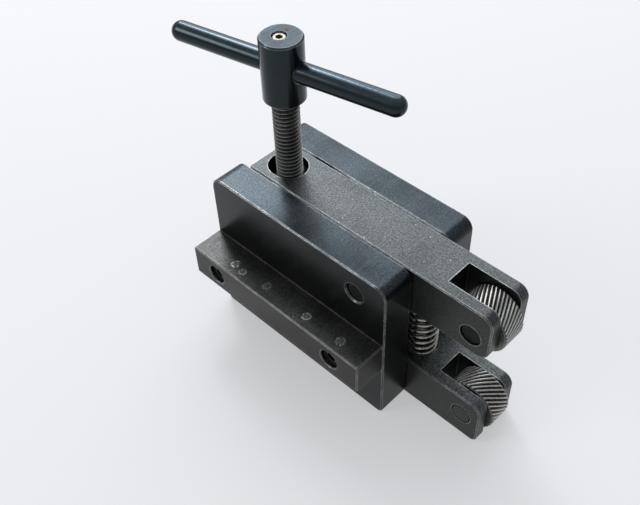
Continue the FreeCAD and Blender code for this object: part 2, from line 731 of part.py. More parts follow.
for thing in doc.Objects:
    if "Invalid" in thing.State or "Error" in thing.State:
        raise RuntimeError(f"{thing.Label} failed: {thing.State}")
for thing in sub_parts:
    if thing.Shape.isNull() or not thing.Shape.isValid():
        raise RuntimeError(f"{thing.Label} has no valid shape")

os.makedirs("parts", exist_ok=True)
for thing in sub_parts:
    thing.Shape.exportStep(f"parts/{thing.Label}.step")
    print(f"{thing.Label}: {len(thing.Shape.Solids)} solid(s), {thing.Shape.Volume:.1f} mm3")
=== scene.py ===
"""Dresses a lathe knurling tool: cuts its screw thread, winds its spring and gives each steel its
finish, then sets the pale table, the soft lamps and the camera. Lengths are in metres."""

import math

import bmesh
import bpy
from bpy.props import FloatProperty, FloatVectorProperty, IntProperty, PointerProperty
from bpy.types import Operator, Panel, PropertyGroup
from mathutils import Matrix, Vector


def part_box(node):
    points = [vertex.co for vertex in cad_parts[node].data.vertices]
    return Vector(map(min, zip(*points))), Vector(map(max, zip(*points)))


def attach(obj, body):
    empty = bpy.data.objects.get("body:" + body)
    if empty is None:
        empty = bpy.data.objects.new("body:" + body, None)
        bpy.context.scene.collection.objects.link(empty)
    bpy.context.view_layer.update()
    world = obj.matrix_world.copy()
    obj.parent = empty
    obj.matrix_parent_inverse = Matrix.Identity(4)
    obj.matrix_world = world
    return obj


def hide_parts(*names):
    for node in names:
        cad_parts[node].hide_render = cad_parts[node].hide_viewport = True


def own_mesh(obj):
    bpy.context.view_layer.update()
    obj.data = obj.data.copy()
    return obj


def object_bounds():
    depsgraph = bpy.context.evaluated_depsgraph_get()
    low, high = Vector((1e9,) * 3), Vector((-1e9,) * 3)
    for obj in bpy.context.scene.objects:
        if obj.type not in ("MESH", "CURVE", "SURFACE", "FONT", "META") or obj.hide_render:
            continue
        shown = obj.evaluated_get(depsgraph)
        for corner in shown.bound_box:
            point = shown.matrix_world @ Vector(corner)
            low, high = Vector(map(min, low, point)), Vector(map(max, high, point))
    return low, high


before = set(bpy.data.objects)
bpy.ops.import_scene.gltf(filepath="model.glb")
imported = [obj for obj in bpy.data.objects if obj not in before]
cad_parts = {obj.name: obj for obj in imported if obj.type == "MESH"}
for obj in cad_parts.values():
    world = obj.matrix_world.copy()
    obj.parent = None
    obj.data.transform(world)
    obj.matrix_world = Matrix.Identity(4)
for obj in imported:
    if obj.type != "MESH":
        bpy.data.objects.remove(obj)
CAD_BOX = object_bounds()

bl_info = {
    "name": "Knurling Tool Finish",
    "version": (1, 0, 0),
    "blender": (4, 5, 0),
    "location": "3D View > Sidebar > Knurling Tool",
    "description": "Cuts the clamping screw's thread and finishes the steels of a knurling tool",
    "category": "Object",
}

MM = 0.001

# how often each pattern repeats in a metre
DRIFT, PATCHES, PITTING, NICKS = 70.0, 260.0, 1700.0, 1900.0

METAL_SHARE = 0.9  # the rest is oxide and oil
# painted shade and sheen: upright faces get these shares of the top's colour
SIDE_SHADE_TONES = (0.34, 0.31, 0.27)  # of the top's red, green and blue
DIRT_ROUGHNESS = 0.85

SCREW_LOW, SCREW_HIGH = (Vector(corner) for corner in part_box("clamp_screw"))
SPRING_LOW, SPRING_HIGH = (Vector(corner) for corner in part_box("opening_spring"))
SHANK_HIGH = Vector(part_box("shank_bar")[1])
HUB_LOW, HUB_HIGH = (Vector(corner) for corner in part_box("handle_hub"))
CHEEK_HIGH = Vector(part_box("front_cheek")[1])


# ---- sizes and colours -----------------------------------------------------------------------


def length(name, description, default):
    return FloatProperty(
        name=name, description=description, default=default, min=0.0, unit="LENGTH"
    )


def share(name, description, default):
    return FloatProperty(
        name=name, description=description, default=default, min=0.0, max=1.0, subtype="FACTOR"
    )


def colour(name, description, default):
    return FloatVectorProperty(
        name=name, description=description, default=default, size=3, min=0.0, max=1.0,
        subtype="COLOR",
    )


class ThreadSizes(PropertyGroup):
    """The clamping screw's thread and its plain tip."""

    pitch: length("Pitch", "Height of one turn of the thread", 25.4 * MM / 16)
    tip_diameter: length("Tip", "Diameter of the plain tip in the thrust barrel", 7.2 * MM)
    tip_length: length("Tip length", "Length of the plain tip", 7.6 * MM)
    steps: IntProperty(name="Steps", description="Facets in one turn", default=32, min=12)


class SpringSizes(PropertyGroup):
    """The opening spring's coil."""

    wire: length("Wire", "Diameter of the wire", 1.3 * MM)
    pitch: length("Pitch", "Height of one turn of the coil", 3.1 * MM)
    steps: IntProperty(name="Steps", description="Facets in one turn", default=36, min=12)
    sides: IntProperty(name="Sides", description="Facets round the wire", default=12, min=6)
    closed: share("Closed length", "Share of its length left when the arms are closed", 0.75)


class SteelColours(PropertyGroup):
    """The colours of the tool's steels and of what lies on them."""

    cheek: colour("Cheeks", "Blue-black oxide on the cheeks", (0.055, 0.068, 0.077))
    handle: colour("Handle", "Blue-black oxide on the hub and tommy bar", (0.058, 0.078, 0.092))
    shank: colour("Shank", "Handled oxide on the shank", (0.086, 0.088, 0.088))
    arm: colour("Arms", "Grey oxide on the arms", (0.099, 0.107, 0.109))
    wheel: colour("Wheels", "Hardened steel of the knurl wheels", (0.169, 0.171, 0.155))
    thread: colour("Thread", "Oiled thread", (0.150, 0.148, 0.142))
    # on the pins and barrels this near-black is partly black oxide, partly painted shade of their
    # recessed holes
    pin: colour("Pins", "Ground pins", (0.016, 0.016, 0.015))
    # bright also colours the painted glints and the edges' painted highlight
    bright: colour("Bare steel", "Steel where the finish is rubbed off", (0.60, 0.60, 0.59))
    spring: colour("Spring", "Bare spring wire", (0.500, 0.490, 0.433))
    set_screw: colour("Set screw", "Bare brassy face of the hub's set screw", (0.50, 0.47, 0.40))
    thread_crest: colour("Thread crests", "Rubbed crests of the thread", (0.42, 0.41, 0.39))
    # a darker colour laid in the thread's roots
    thread_root_dark: colour("Grease", "Old grease in the thread's roots", (0.030, 0.027, 0.024))
    tooth_crest: colour("Tooth crests", "Rubbed crests of the teeth", (0.62, 0.61, 0.58))
    # a darker colour laid in the teeth's roots
    tooth_root: colour("Tooth roots", "Oily roots of the teeth", (0.022, 0.019, 0.016))
    browning: colour("Browning", "Browned oxide on the shank's top", (0.058, 0.053, 0.048))
    print_rim: colour("Print rims", "Rims of the screw prints", (0.55, 0.55, 0.52))
    print_dish: colour("Print dishes", "Middles of the screw prints", (0.26, 0.25, 0.22))
    groove: colour("Groove", "Dirt in the groove round a flush pin", (0.006, 0.006, 0.006))
    rust: colour("Rust", "Rust and dried oil in the corners", (0.160, 0.100, 0.055))


class WearSizes(PropertyGroup):
    """How far the finish is rubbed and marked; the rubbed edges also carry a painted highlight."""

    # the bright edge line is partly rubbed wear and partly painted highlight
    edge: length("Edge", "Width of the bright line along worn edges", 0.75 * MM)
    seam: length("Seam", "Width of the dirt along the shank's inner corner", 1.2 * MM)


class StageSettings(PropertyGroup):
    """The table, the lamps and the camera."""

    table: colour("Table", "Colour of the table and backdrop", (0.90, 0.90, 0.91))
    glow: share("Glow", "Share of the table's brightness that shadows leave", 0.45)
    room: FloatProperty(
        name="Room light", description="Strength of the light from all round", default=0.45, min=0.0
    )
    camera_place: FloatVectorProperty(
        name="Camera", description="Where the camera stands", subtype="TRANSLATION", unit="LENGTH",
        default=(0.148827, -0.125979, 0.235410),
    )
    camera_turn: FloatVectorProperty(
        name="Camera turn", description="How the camera is turned",
        subtype="EULER", unit="ROTATION",
        default=(math.radians(43.785), math.radians(1.646), math.radians(44.097)),
    )
    lens: FloatProperty(name="Lens", description="Focal length in mm", default=48.148, min=10.0)


# ---- shader node groups ----------------------------------------------------------------------


def add(tree, kind, inputs=None, **settings):
    """A shader node with its settings, and its inputs linked or set by name or number."""
    node = tree.nodes.new("ShaderNode" + kind)
    for name, setting in settings.items():
        setattr(node, name, setting)
    for socket, source in (inputs or {}).items():
        if isinstance(source, bpy.types.NodeSocket):
            tree.links.new(source, node.inputs[socket])
        else:
            node.inputs[socket].default_value = source
    return node


def maths(tree, operation, *terms, clamp=False):
    node = add(tree, "Math", dict(enumerate(terms)), operation=operation, use_clamp=clamp)
    return node.outputs[0]


def ramp(tree, source, low, high, to_low=0.0, to_high=1.0):
    """source eased from low..high to to_low..to_high."""
    node = add(
        tree, "MapRange", {0: source, 1: low, 2: high, 3: to_low, 4: to_high},
        interpolation_type="SMOOTHSTEP",
    )
    return node.outputs[0]


def blend(tree, mask, base, over):
    """base where mask is 0, and over where it is 1. Both are colours."""
    node = add(tree, "Mix", {0: mask, 6: base, 7: over}, data_type="RGBA")
    return node.outputs[2]


def noise(tree, place, scale, detail=3.0, roughness=0.55):
    inputs = {"Vector": place, "Scale": scale, "Detail": detail, "Roughness": roughness}
    return add(tree, "TexNoise", inputs).outputs["Fac"]


def stretched(tree, place, scale):
    return add(tree, "Mapping", {"Vector": place, "Scale": scale}).outputs[0]


def group(name, inputs, outputs):
    """An empty node group, its input node's sockets and its output node."""
    tree = bpy.data.node_groups.new(name, "ShaderNodeTree")
    for label, (kind, default) in inputs.items():
        socket = tree.interface.new_socket(label, in_out="INPUT", socket_type="NodeSocket" + kind)
        socket.default_value = default
    for label, kind in outputs.items():
        tree.interface.new_socket(label, in_out="OUTPUT", socket_type="NodeSocket" + kind)
    source = tree.nodes.new("NodeGroupInput").outputs
    sink = tree.nodes.new("NodeGroupOutput").inputs
    return tree, source, sink


def place_group(tree, name, inputs):
    """One of the shared groups, placed in a material with its own values."""
    return add(tree, "Group", inputs, node_tree=bpy.data.node_groups[name])


def object_place(tree):
    return add(tree, "TexCoord").outputs["Object"]


def make_edge_wear_and_highlight():
    """Bright lines along a piece's edges, broken up by noise: partly rubbed wear, partly painted
    highlight.
    """
    tree, source, sink = group(
        "Edge Wear And Highlight",
        {"Width": ("Float", 0.0005), "Breakup": ("Float", 0.5)},
        {"Mask": "Float"},
    )
    rounded = add(tree, "Bevel", {"Radius": source["Width"]}, samples=6).outputs[0]
    facing = add(tree, "NewGeometry").outputs["Normal"]
    bend = add(tree, "VectorMath", {0: rounded, 1: facing}, operation="DOT_PRODUCT").outputs[1]
    edge = ramp(tree, maths(tree, "SUBTRACT", 1.0, bend), 0.006, 0.09)
    place = object_place(tree)
    patches = ramp(tree, noise(tree, place, PATCHES, 4.0), 0.34, 0.58)
    nicks = ramp(tree, noise(tree, place, NICKS, 2.0), 0.35, 0.6)
    worn = maths(tree, "MULTIPLY", maths(tree, "MULTIPLY", patches, nicks), source["Breakup"])
    whole = maths(tree, "SUBTRACT", 1.0, source["Breakup"])
    tree.links.new(maths(tree, "MULTIPLY", edge, maths(tree, "ADD", worn, whole)), sink["Mask"])


def make_ground_grain():
    """Fine straight scratches of a ground face: across it on top, along it elsewhere."""
    tree, source, sink = group(
        "Ground Grain", {"Fineness": ("Float", 1.0)}, {"Lines": "Float", "Drift": "Float"}
    )
    place = object_place(tree)
    lines = []
    for scale in ((2600.0, 60.0, 60.0), (50.0, 2600.0, 2600.0)):
        fine = stretched(tree, place, scale)
        lines.append(noise(tree, fine, source["Fineness"], 2.0, 0.6))
    up = add(tree, "SeparateXYZ", {0: add(tree, "NewGeometry").outputs["Normal"]}).outputs["Z"]
    on_top = ramp(tree, maths(tree, "ABSOLUTE", up), 0.6, 0.8)
    swap = add(tree, "Mix", {0: on_top, 2: lines[1], 3: lines[0]}, data_type="FLOAT")
    tree.links.new(swap.outputs[0], sink["Lines"])
    tree.links.new(noise(tree, place, DRIFT, 4.0), sink["Drift"])


def make_specks():
    """Scattered round specks, each lit or not by chance."""
    tree, source, sink = group(
        "Specks",
        {"Scale": ("Float", 1500.0), "Size": ("Float", 0.3), "Share": ("Float", 0.3)},
        {"Mask": "Float"},
    )
    cells = add(tree, "TexVoronoi", {"Vector": object_place(tree), "Scale": source["Scale"]})
    dot = ramp(tree, cells.outputs["Distance"], source["Size"], 0.0)
    chance = add(tree, "SeparateXYZ", {0: cells.outputs["Color"]}).outputs["X"]
    lit = maths(tree, "LESS_THAN", chance, source["Share"])
    tree.links.new(maths(tree, "MULTIPLY", dot, lit), sink["Mask"])


def make_screw_print():
    """The round print of a screw's tip: a bright rim round a darker dish."""
    tree, source, sink = group(
        "Screw Print",
        {"Centre": ("Vector", (0.0, 0.0, 0.0)), "Radius": ("Float", 0.0015)},
        {"Rim": "Float", "Dish": "Float"},
    )
    place = object_place(tree)
    away = add(
        tree, "VectorMath", {0: place, 1: source["Centre"]}, operation="SUBTRACT"
    ).outputs[0]
    ripple = maths(tree, "SUBTRACT", noise(tree, place, 900.0, 3.0), 0.5)
    wobble = maths(tree, "MULTIPLY", ripple, 1.2)
    distance = add(tree, "VectorMath", {0: away}, operation="LENGTH").outputs[1]
    reach = maths(tree, "ADD", maths(tree, "DIVIDE", distance, source["Radius"]), wobble)
    rise = ramp(tree, reach, 0.55, 0.8)
    fall = ramp(tree, reach, 1.15, 0.95)
    worn = ramp(tree, noise(tree, place, 1500.0, 2.0), 0.38, 0.58)
    tree.links.new(
        maths(tree, "MULTIPLY", maths(tree, "MULTIPLY", rise, fall), worn), sink["Rim"]
    )
    tree.links.new(ramp(tree, reach, 0.8, 0.4), sink["Dish"])


# ---- materials -------------------------------------------------------------------------------


def steel(name, base, roughness, grain=1.0, grain_height=0.00001, wear_and_highlight=0.6, wear_and_highlight_width=None,
          speck_share=0.0, speck_scale=1500.0, sparkle=0.0, spread=0.12, mottle=0.25, sides=0.0,
          pepper=0.85):
    """A steel with ground grain, mottling, pitting, specks, painted glints and bright edges, the
    edges partly rubbed wear and partly painted highlight. sides is how far its upright faces are
    painted darker than its tops, as painted shade and sheen. Gives (material, tree, shader), so
    that a piece's own marks can be laid over it."""
    colours = bpy.context.scene.steel_colours
    sizes = bpy.context.scene.wear_sizes
    material = bpy.data.materials.new(name)
    material.use_nodes = True
    tree = material.node_tree
    shader = tree.nodes["Principled BSDF"]
    shader.inputs["Metallic"].default_value = METAL_SHARE
    worked = place_group(tree, "Ground Grain", {"Fineness": grain})
    lines, drift = worked.outputs["Lines"], worked.outputs["Drift"]
    wear_and_highlight_inputs = {"Width": wear_and_highlight_width or sizes.edge, "Breakup": 0.6}
    edge = place_group(tree, "Edge Wear And Highlight", wear_and_highlight_inputs).outputs["Mask"]
    edge = maths(tree, "MULTIPLY", edge, wear_and_highlight)

    dark = tuple(c * (1.0 - mottle) for c in base) + (1.0,)
    pale = tuple(min(1.0, c * (1.0 + mottle)) for c in base) + (1.0,)
    skin = blend(tree, ramp(tree, drift, 0.3, 0.7), dark, pale)
    scratched = tuple(min(1.0, c * 1.5) for c in base) + (1.0,)
    skin = blend(tree, ramp(tree, lines, 0.50, 0.75, 0.0, 0.6), skin, scratched)
    peppered = tuple(c * 0.4 for c in base) + (1.0,)
    fine = noise(tree, object_place(tree), PITTING, 2.0)
    skin = blend(tree, ramp(tree, fine, 0.42, 0.64, 0.0, pepper), skin, peppered)
    if speck_share:
        speck_inputs = {"Scale": speck_scale, "Size": 0.33, "Share": speck_share}
        specks = place_group(tree, "Specks", speck_inputs).outputs["Mask"]
        bright = tuple(min(1.0, c * 2.6 + 0.03) for c in base) + (1.0,)
        skin = blend(tree, specks, skin, bright)
    if sparkle:
        glint_inputs = {"Scale": 0.55 * speck_scale, "Size": 0.24, "Share": sparkle}
        glints = place_group(tree, "Specks", glint_inputs).outputs["Mask"]
        skin = blend(tree, glints, skin, tuple(colours.bright) + (1.0,))
    if sides:
        # painted shade and sheen: the upright faces are darkened and tinted warmer than the tops,
        # standing for the shade on them and the sky's bluish sheen on the tops; partly also the
        # tops' handling polish
        up = add(tree, "SeparateXYZ", {0: add(tree, "NewGeometry").outputs["Normal"]}).outputs["Z"]
        painted_side_shade = tuple(c * tone for c, tone in zip(base, SIDE_SHADE_TONES)) + (1.0,)
        skin = blend(tree, ramp(tree, up, 0.9, 0.3, 0.0, sides), skin, painted_side_shade)
    # bright edges: partly rubbed wear, partly painted highlight
    skin = blend(tree, edge, skin, tuple(colours.bright) + (1.0,))
    tree.links.new(skin, shader.inputs["Base Color"])

    rough = ramp(tree, drift, 0.25, 0.75, roughness - spread / 2, roughness + spread / 2)
    rough = maths(tree, "ADD", rough, maths(tree, "MULTIPLY", lines, 0.08))
    tree.links.new(rough, shader.inputs["Roughness"])
    height = maths(tree, "MULTIPLY", lines, grain_height)
    bump = add(tree, "Bump", {"Height": height, "Distance": 1.0, "Strength": 1.0})
    tree.links.new(bump.outputs[0], shader.inputs["Normal"])
    return material, tree, shader


def over_colour(tree, shader, mask, tint):
    """Lays tint over the shader's colour where mask is 1."""
    under = shader.inputs["Base Color"].links[0].from_socket
    tree.links.new(blend(tree, mask, under, tuple(tint) + (1.0,)), shader.inputs["Base Color"])


def over_value(tree, shader, socket, mask, level):
    """Eases one of the shader's values to level where mask is 1."""
    under = shader.inputs[socket]
    source = under.links[0].from_socket if under.is_linked else under.default_value
    mixed = add(tree, "Mix", {0: mask, 2: source, 3: level}, data_type="FLOAT").outputs[0]
    tree.links.new(mixed, under)


def lay_dirt(tree, shader, mask, tint):
    """Dull dirt or rust of the tint where mask is 1."""
    over_colour(tree, shader, mask, tint)
    over_value(tree, shader, "Roughness", mask, DIRT_ROUGHNESS)
    over_value(tree, shader, "Metallic", mask, 0.0)


def radius_about(tree, centre, axes):
    """Distance from a line through centre, measured over the two axes, and the place from it."""
    away = add(tree, "Mapping", {
        "Vector": object_place(tree), "Location": tuple(-part for part in centre),
    }).outputs[0]
    parts = add(tree, "SeparateXYZ", {0: away}).outputs
    squares = [maths(tree, "MULTIPLY", parts[axis], parts[axis]) for axis in axes]
    return maths(tree, "SQRT", maths(tree, "ADD", *squares)), parts


def coat(node, material):
    """Gives a CAD node its finish."""
    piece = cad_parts[node]
    piece.data.materials.clear()
    piece.data.materials.append(material)


def band(tree, axis, centre, width, place=None):
    """1 on the plane axis = centre, easing to 0 at width from it, with a ragged border."""
    place = place or object_place(tree)
    along = add(tree, "SeparateXYZ", {0: place}).outputs["XYZ".index(axis)]
    ragged = maths(tree, "MULTIPLY", noise(tree, place, 420.0, 5.0, 0.7), 1.6 * width)
    away = maths(tree, "ABSOLUTE", maths(tree, "SUBTRACT", along, centre))
    return ramp(tree, maths(tree, "ADD", away, ragged), 1.5 * width, 0.5 * width)


# ---- pieces ----------------------------------------------------------------------------------


def finish_mesh(name, shape, material, crease=math.radians(35)):
    """Makes an object of a bmesh, smooth but for edges sharper than crease."""
    bmesh.ops.recalc_face_normals(shape, faces=shape.faces)
    for face in shape.faces:
        face.smooth = True
    for edge in shape.edges:
        edge.smooth = len(edge.link_faces) == 2 and edge.calc_face_angle() < crease
    mesh = bpy.data.meshes.new(name)
    shape.to_mesh(mesh)
    shape.free()
    mesh.materials.append(material)
    piece = bpy.data.objects.new(name, mesh)
    bpy.context.scene.collection.objects.link(piece)
    return piece


def wind(shape, pitch, turns, steps):
    """Turns all that the shape holds about Z, climbing pitch at each turn of so many steps."""
    count = round(turns * steps)
    bmesh.ops.spin(
        shape, geom=shape.verts[:] + shape.edges[:], cent=(0, 0, 0), axis=(0, 0, 1),
        dvec=(0, 0, pitch * turns / count), angle=2 * math.pi * turns, steps=count,
    )


def trim(shape, height, above):
    """Cuts the shape off flat at height and closes the cut."""
    cut = bmesh.ops.bisect_plane(
        shape, geom=shape.verts[:] + shape.edges[:] + shape.faces[:], dist=1e-7,
        plane_co=(0, 0, height), plane_no=(0, 0, 1), clear_outer=above, clear_inner=not above,
    )
    edges = [e for e in cut["geom_cut"] if isinstance(e, bmesh.types.BMEdge)]
    bmesh.ops.edgeloop_fill(shape, edges=edges)


class KNURLING_OT_clamp_thread(Operator):
    """Cut the clamping screw's thread, from its tip in the thrust barrel to the handle's hub"""

    bl_idname = "knurling.clamp_thread"
    bl_label = "Clamping Screw"

    def execute(self, context):
        sizes, colours = context.scene.thread_sizes, context.scene.steel_colours
        pitch = sizes.pitch
        crest = (SCREW_HIGH.x - SCREW_LOW.x) / 2
        root = crest - 0.6134 * pitch
        crest_land, root_land = pitch / 8, pitch / 4
        flank = (pitch - crest_land - root_land) / 2
        low, high = sizes.tip_length, SCREW_HIGH.z - SCREW_LOW.z
        outline = [
            (root, 0.0), (root, root_land), (crest, root_land + flank),
            (crest, root_land + flank + crest_land), (root, pitch),
        ]
        turns = math.ceil((high - low) / pitch) + 2
        shape = bmesh.new()
        corners = [shape.verts.new((radius, 0.0, height)) for radius, height in outline]
        for pair in zip(corners, corners[1:]):
            shape.edges.new(pair)
        wind(shape, pitch, turns, sizes.steps)
        bmesh.ops.remove_doubles(shape, verts=shape.verts, dist=1e-6)
        bmesh.ops.translate(shape, verts=shape.verts, vec=(0, 0, low - 1.5 * pitch))
        trim(shape, low, above=False)
        trim(shape, high, above=True)
        tip_radius = sizes.tip_diameter / 2
        tip = bmesh.ops.create_cone(
            shape, cap_ends=True, segments=48, radius1=tip_radius, radius2=tip_radius, depth=low
        )["verts"]
        bmesh.ops.translate(shape, verts=tip, vec=(0, 0, low / 2))
        middle = (SCREW_LOW + SCREW_HIGH) / 2
        bmesh.ops.translate(shape, verts=shape.verts, vec=(middle.x, middle.y, SCREW_LOW.z))

        material, tree, shader = steel(
            "Threaded steel", colours.thread, 0.34, wear_and_highlight=0.35, wear_and_highlight_width=0.25 * MM, mottle=0.4
        )
        radius, parts = radius_about(tree, (middle.x, middle.y, 0.0), "XY")
        rubbed = ramp(tree, radius, root + 0.65 * (crest - root), crest)
        # the crests' pale colour is strongest low down near the cheeks and weakest up at the hub
        crest_paleness_by_height = ramp(tree, parts["Z"], HUB_LOW.z, CHEEK_HIGH.z + 4 * MM, 0.25, 0.9)
        over_colour(tree, shader, maths(tree, "MULTIPLY", rubbed, crest_paleness_by_height), colours.thread_crest)
        # the thread's roots go darker
        thread_root_dark = ramp(tree, radius, root + 0.35 * (crest - root), root)
        over_colour(tree, shader, thread_root_dark, colours.thread_root_dark)

        screw = finish_mesh("clamp_screw_thread", shape, material, math.radians(24))
        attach(screw, "clamp_screw")
        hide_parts("clamp_screw")
        return {"FINISHED"}


class KNURLING_OT_opening_spring(Operator):
    """Wind the opening spring"""

    bl_idname = "knurling.opening_spring"
    bl_label = "Opening Spring"

    def execute(self, context):
        sizes, colours = context.scene.spring_sizes, context.scene.steel_colours
        middle = (SPRING_LOW + SPRING_HIGH) / 2
        coil_radius = (SPRING_HIGH.x - SPRING_LOW.x - sizes.wire) / 2
        turns = (SPRING_HIGH.z - SPRING_LOW.z - sizes.wire) / sizes.pitch
        shape = bmesh.new()
        section = bmesh.ops.create_circle(
            shape, segments=sizes.sides, radius=sizes.wire / 2
        )["verts"]
        upright = Matrix.Rotation(math.pi / 2, 3, "X")
        bmesh.ops.rotate(shape, verts=section, cent=(0, 0, 0), matrix=upright)
        bmesh.ops.translate(shape, verts=section, vec=(coil_radius, 0, 0))
        wind(shape, sizes.pitch, turns, sizes.steps)
        bmesh.ops.edgeloop_fill(shape, edges=[edge for edge in shape.edges if edge.is_boundary])
        foot = (middle.x, middle.y, SPRING_LOW.z + sizes.wire / 2)
        bmesh.ops.translate(shape, verts=shape.verts, vec=foot)

        material, _tree, _shader = steel(
            "Spring wire", colours.spring, 0.26, grain=0.4, wear_and_highlight=0.0, mottle=0.15
        )
        spring = finish_mesh("opening_spring_coil", shape, material)
        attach(spring, "frame")
        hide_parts("opening_spring")
        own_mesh(spring)
        return {"FINISHED"}


class KNURLING_OT_cheeks(Operator):
    """Finish both cheeks in blue-black oxide over ground steel"""

    bl_idname = "knurling.cheeks"
    bl_label = "Cheeks"

    def execute(self, context):
        colours, sizes = context.scene.steel_colours, context.scene.wear_sizes
        material, tree, shader = steel(
            "Blued cheek steel", colours.cheek, 0.27, wear_and_highlight=0.9, speck_share=0.08, sides=1.0
        )
        seam = band(tree, "Z", SHANK_HIGH.z, sizes.seam)
        front = band(tree, "Y", SHANK_HIGH.y, 0.4 * MM)
        lay_dirt(tree, shader, maths(tree, "MULTIPLY", seam, front), colours.rust)
        for node in ("front_cheek", "rear_cheek"):
            coat(node, material)
        return {"FINISHED"}


class KNURLING_OT_shank(Operator):
    """Finish the shank, with the tool-post screws' prints on top and dirt in its inner corner"""

    bl_idname = "knurling.shank"
    bl_label = "Shank"

    # along the shank and across it from its middle, and the radius, in mm; then how bright the
    # rim and the dish are
    prints = (
        (-22.65, -1.62, 1.5, 1.0, 0.4),
        (-17.93, -2.54, 1.4, 0.7, 0.3),
        (-6.71, -1.21, 1.5, 0.5, 0.3),
        (13.01, -1.55, 1.5, 1.0, 0.6),
        (28.68, -1.59, 1.7, 0.8, 0.45),
    )

    def execute(self, context):
        colours, sizes = context.scene.steel_colours, context.scene.wear_sizes
        material, tree, shader = steel(
            "Handled shank steel", colours.shank, 0.34, wear_and_highlight=0.95, wear_and_highlight_width=0.6 * MM,
            speck_share=0.3, speck_scale=1500.0, sparkle=0.05, mottle=0.35, sides=0.9,
        )
        place = object_place(tree)
        height = add(tree, "SeparateXYZ", {0: place}).outputs["Z"]
        top = ramp(tree, height, SHANK_HIGH.z - 0.35 * MM, SHANK_HIGH.z - 0.15 * MM)
        clouds = ramp(tree, noise(tree, place, 130.0, 5.0), 0.25, 0.6)
        browned = maths(tree, "MULTIPLY", top, clouds)
        over_colour(tree, shader, maths(tree, "MULTIPLY", browned, 0.4), colours.browning)
        for x, y, radius, rim, dish in self.prints:
            centre = (x * MM, y * MM, SHANK_HIGH.z)
            mark = place_group(
                tree, "Screw Print", {"Centre": centre, "Radius": radius * MM}
            ).outputs
            dished = maths(tree, "MULTIPLY", mark["Dish"], dish)
            over_colour(tree, shader, dished, colours.print_dish)
            over_colour(tree, shader, maths(tree, "MULTIPLY", mark["Rim"], rim), colours.print_rim)
        seam = maths(tree, "MULTIPLY", band(tree, "Y", SHANK_HIGH.y, sizes.seam, place), top)
        seam = maths(tree, "MULTIPLY", seam, ramp(tree, noise(tree, place, 1100.0, 2.0), 0.35, 0.6))
        lay_dirt(tree, shader, maths(tree, "MULTIPLY", seam, 0.95), colours.rust)
        coat("shank_bar", material)
        return {"FINISHED"}


class KNURLING_OT_arms(Operator):
    """Finish both forked arms in speckled grey oxide"""

    bl_idname = "knurling.arms"
    bl_label = "Forked Arms"

    def execute(self, context):
        colours = context.scene.steel_colours
        material, _tree, _shader = steel(
            "Speckled arm steel", colours.arm, 0.36, wear_and_highlight=0.9, wear_and_highlight_width=0.6 * MM,
            speck_share=0.5, speck_scale=1500.0, sparkle=0.03, mottle=0.25, sides=0.7,
        )
        for node in ("upper_arm", "lower_arm"):
            coat(node, material)
        return {"FINISHED"}


class KNURLING_OT_wheels(Operator):
    """Finish the knurl wheels, their teeth rubbed bright at the crests"""

    bl_idname = "knurling.wheels"
    bl_label = "Knurl Wheels"

    def execute(self, context):
        colours = context.scene.steel_colours
        for node in ("upper_knurl_wheel", "lower_knurl_wheel"):
            low, high = (Vector(corner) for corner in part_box(node))
            middle, crest = (low + high) / 2, (high.z - low.z) / 2
            material, tree, shader = steel(
                node.replace("_", " ").capitalize(), colours.wheel, 0.33, wear_and_highlight=0.5,
                wear_and_highlight_width=0.2 * MM, mottle=0.3,
            )
            radius, parts = radius_about(tree, middle, "XZ")
            crests = ramp(tree, radius, crest - 0.3 * MM, crest - 0.02 * MM)
            over_colour(tree, shader, maths(tree, "MULTIPLY", crests, 0.8), colours.tooth_crest)
            # the tooth roots go darker
            bottoms = ramp(tree, radius, crest - 0.3 * MM, crest - 0.6 * MM)
            rim = ramp(tree, maths(tree, "ABSOLUTE", parts["Y"]), 4.2 * MM, 4.0 * MM)
            over_colour(tree, shader, maths(tree, "MULTIPLY", bottoms, rim), colours.tooth_root)
            coat(node, material)
        return {"FINISHED"}


class KNURLING_OT_pins(Operator):
    """Finish the pins, barrels, sleeve and screws"""

    bl_idname = "knurling.pins"
    bl_label = "Pins and Screws"

    def execute(self, context):
        colours = context.scene.steel_colours
        # near-black pin colour: partly black oxide, partly painted shade of the recessed pin holes
        pin, _tree, _shader = steel("Dark pin steel", colours.pin, 0.45, wear_and_highlight=0.3, mottle=0.4)
        for node in ("upper_pivot_pin", "lower_pivot_pin", "upper_wheel_pin",
                     "clamp_nut", "thrust_barrel", "spacer_sleeve"):
            coat(node, pin)
        black, _tree, _shader = steel("Black screw steel", colours.pin, 0.35, wear_and_highlight=0.4)
        for node in ("tie_screw", "shank_screw"):
            coat(node, black)
        low, high = (Vector(corner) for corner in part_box("lower_wheel_pin"))
        flush, tree, shader = steel(
            "Flush pin steel", colours.arm, 0.36, wear_and_highlight=0.0, speck_share=0.5, sides=0.7
        )
        radius, _parts = radius_about(tree, (low + high) / 2, "XZ")
        pin_radius = (high.z - low.z) / 2
        groove = ramp(tree, radius, pin_radius - 0.6 * MM, pin_radius - 0.4 * MM)
        lay_dirt(tree, shader, groove, colours.groove)
        coat("lower_wheel_pin", flush)
        return {"FINISHED"}


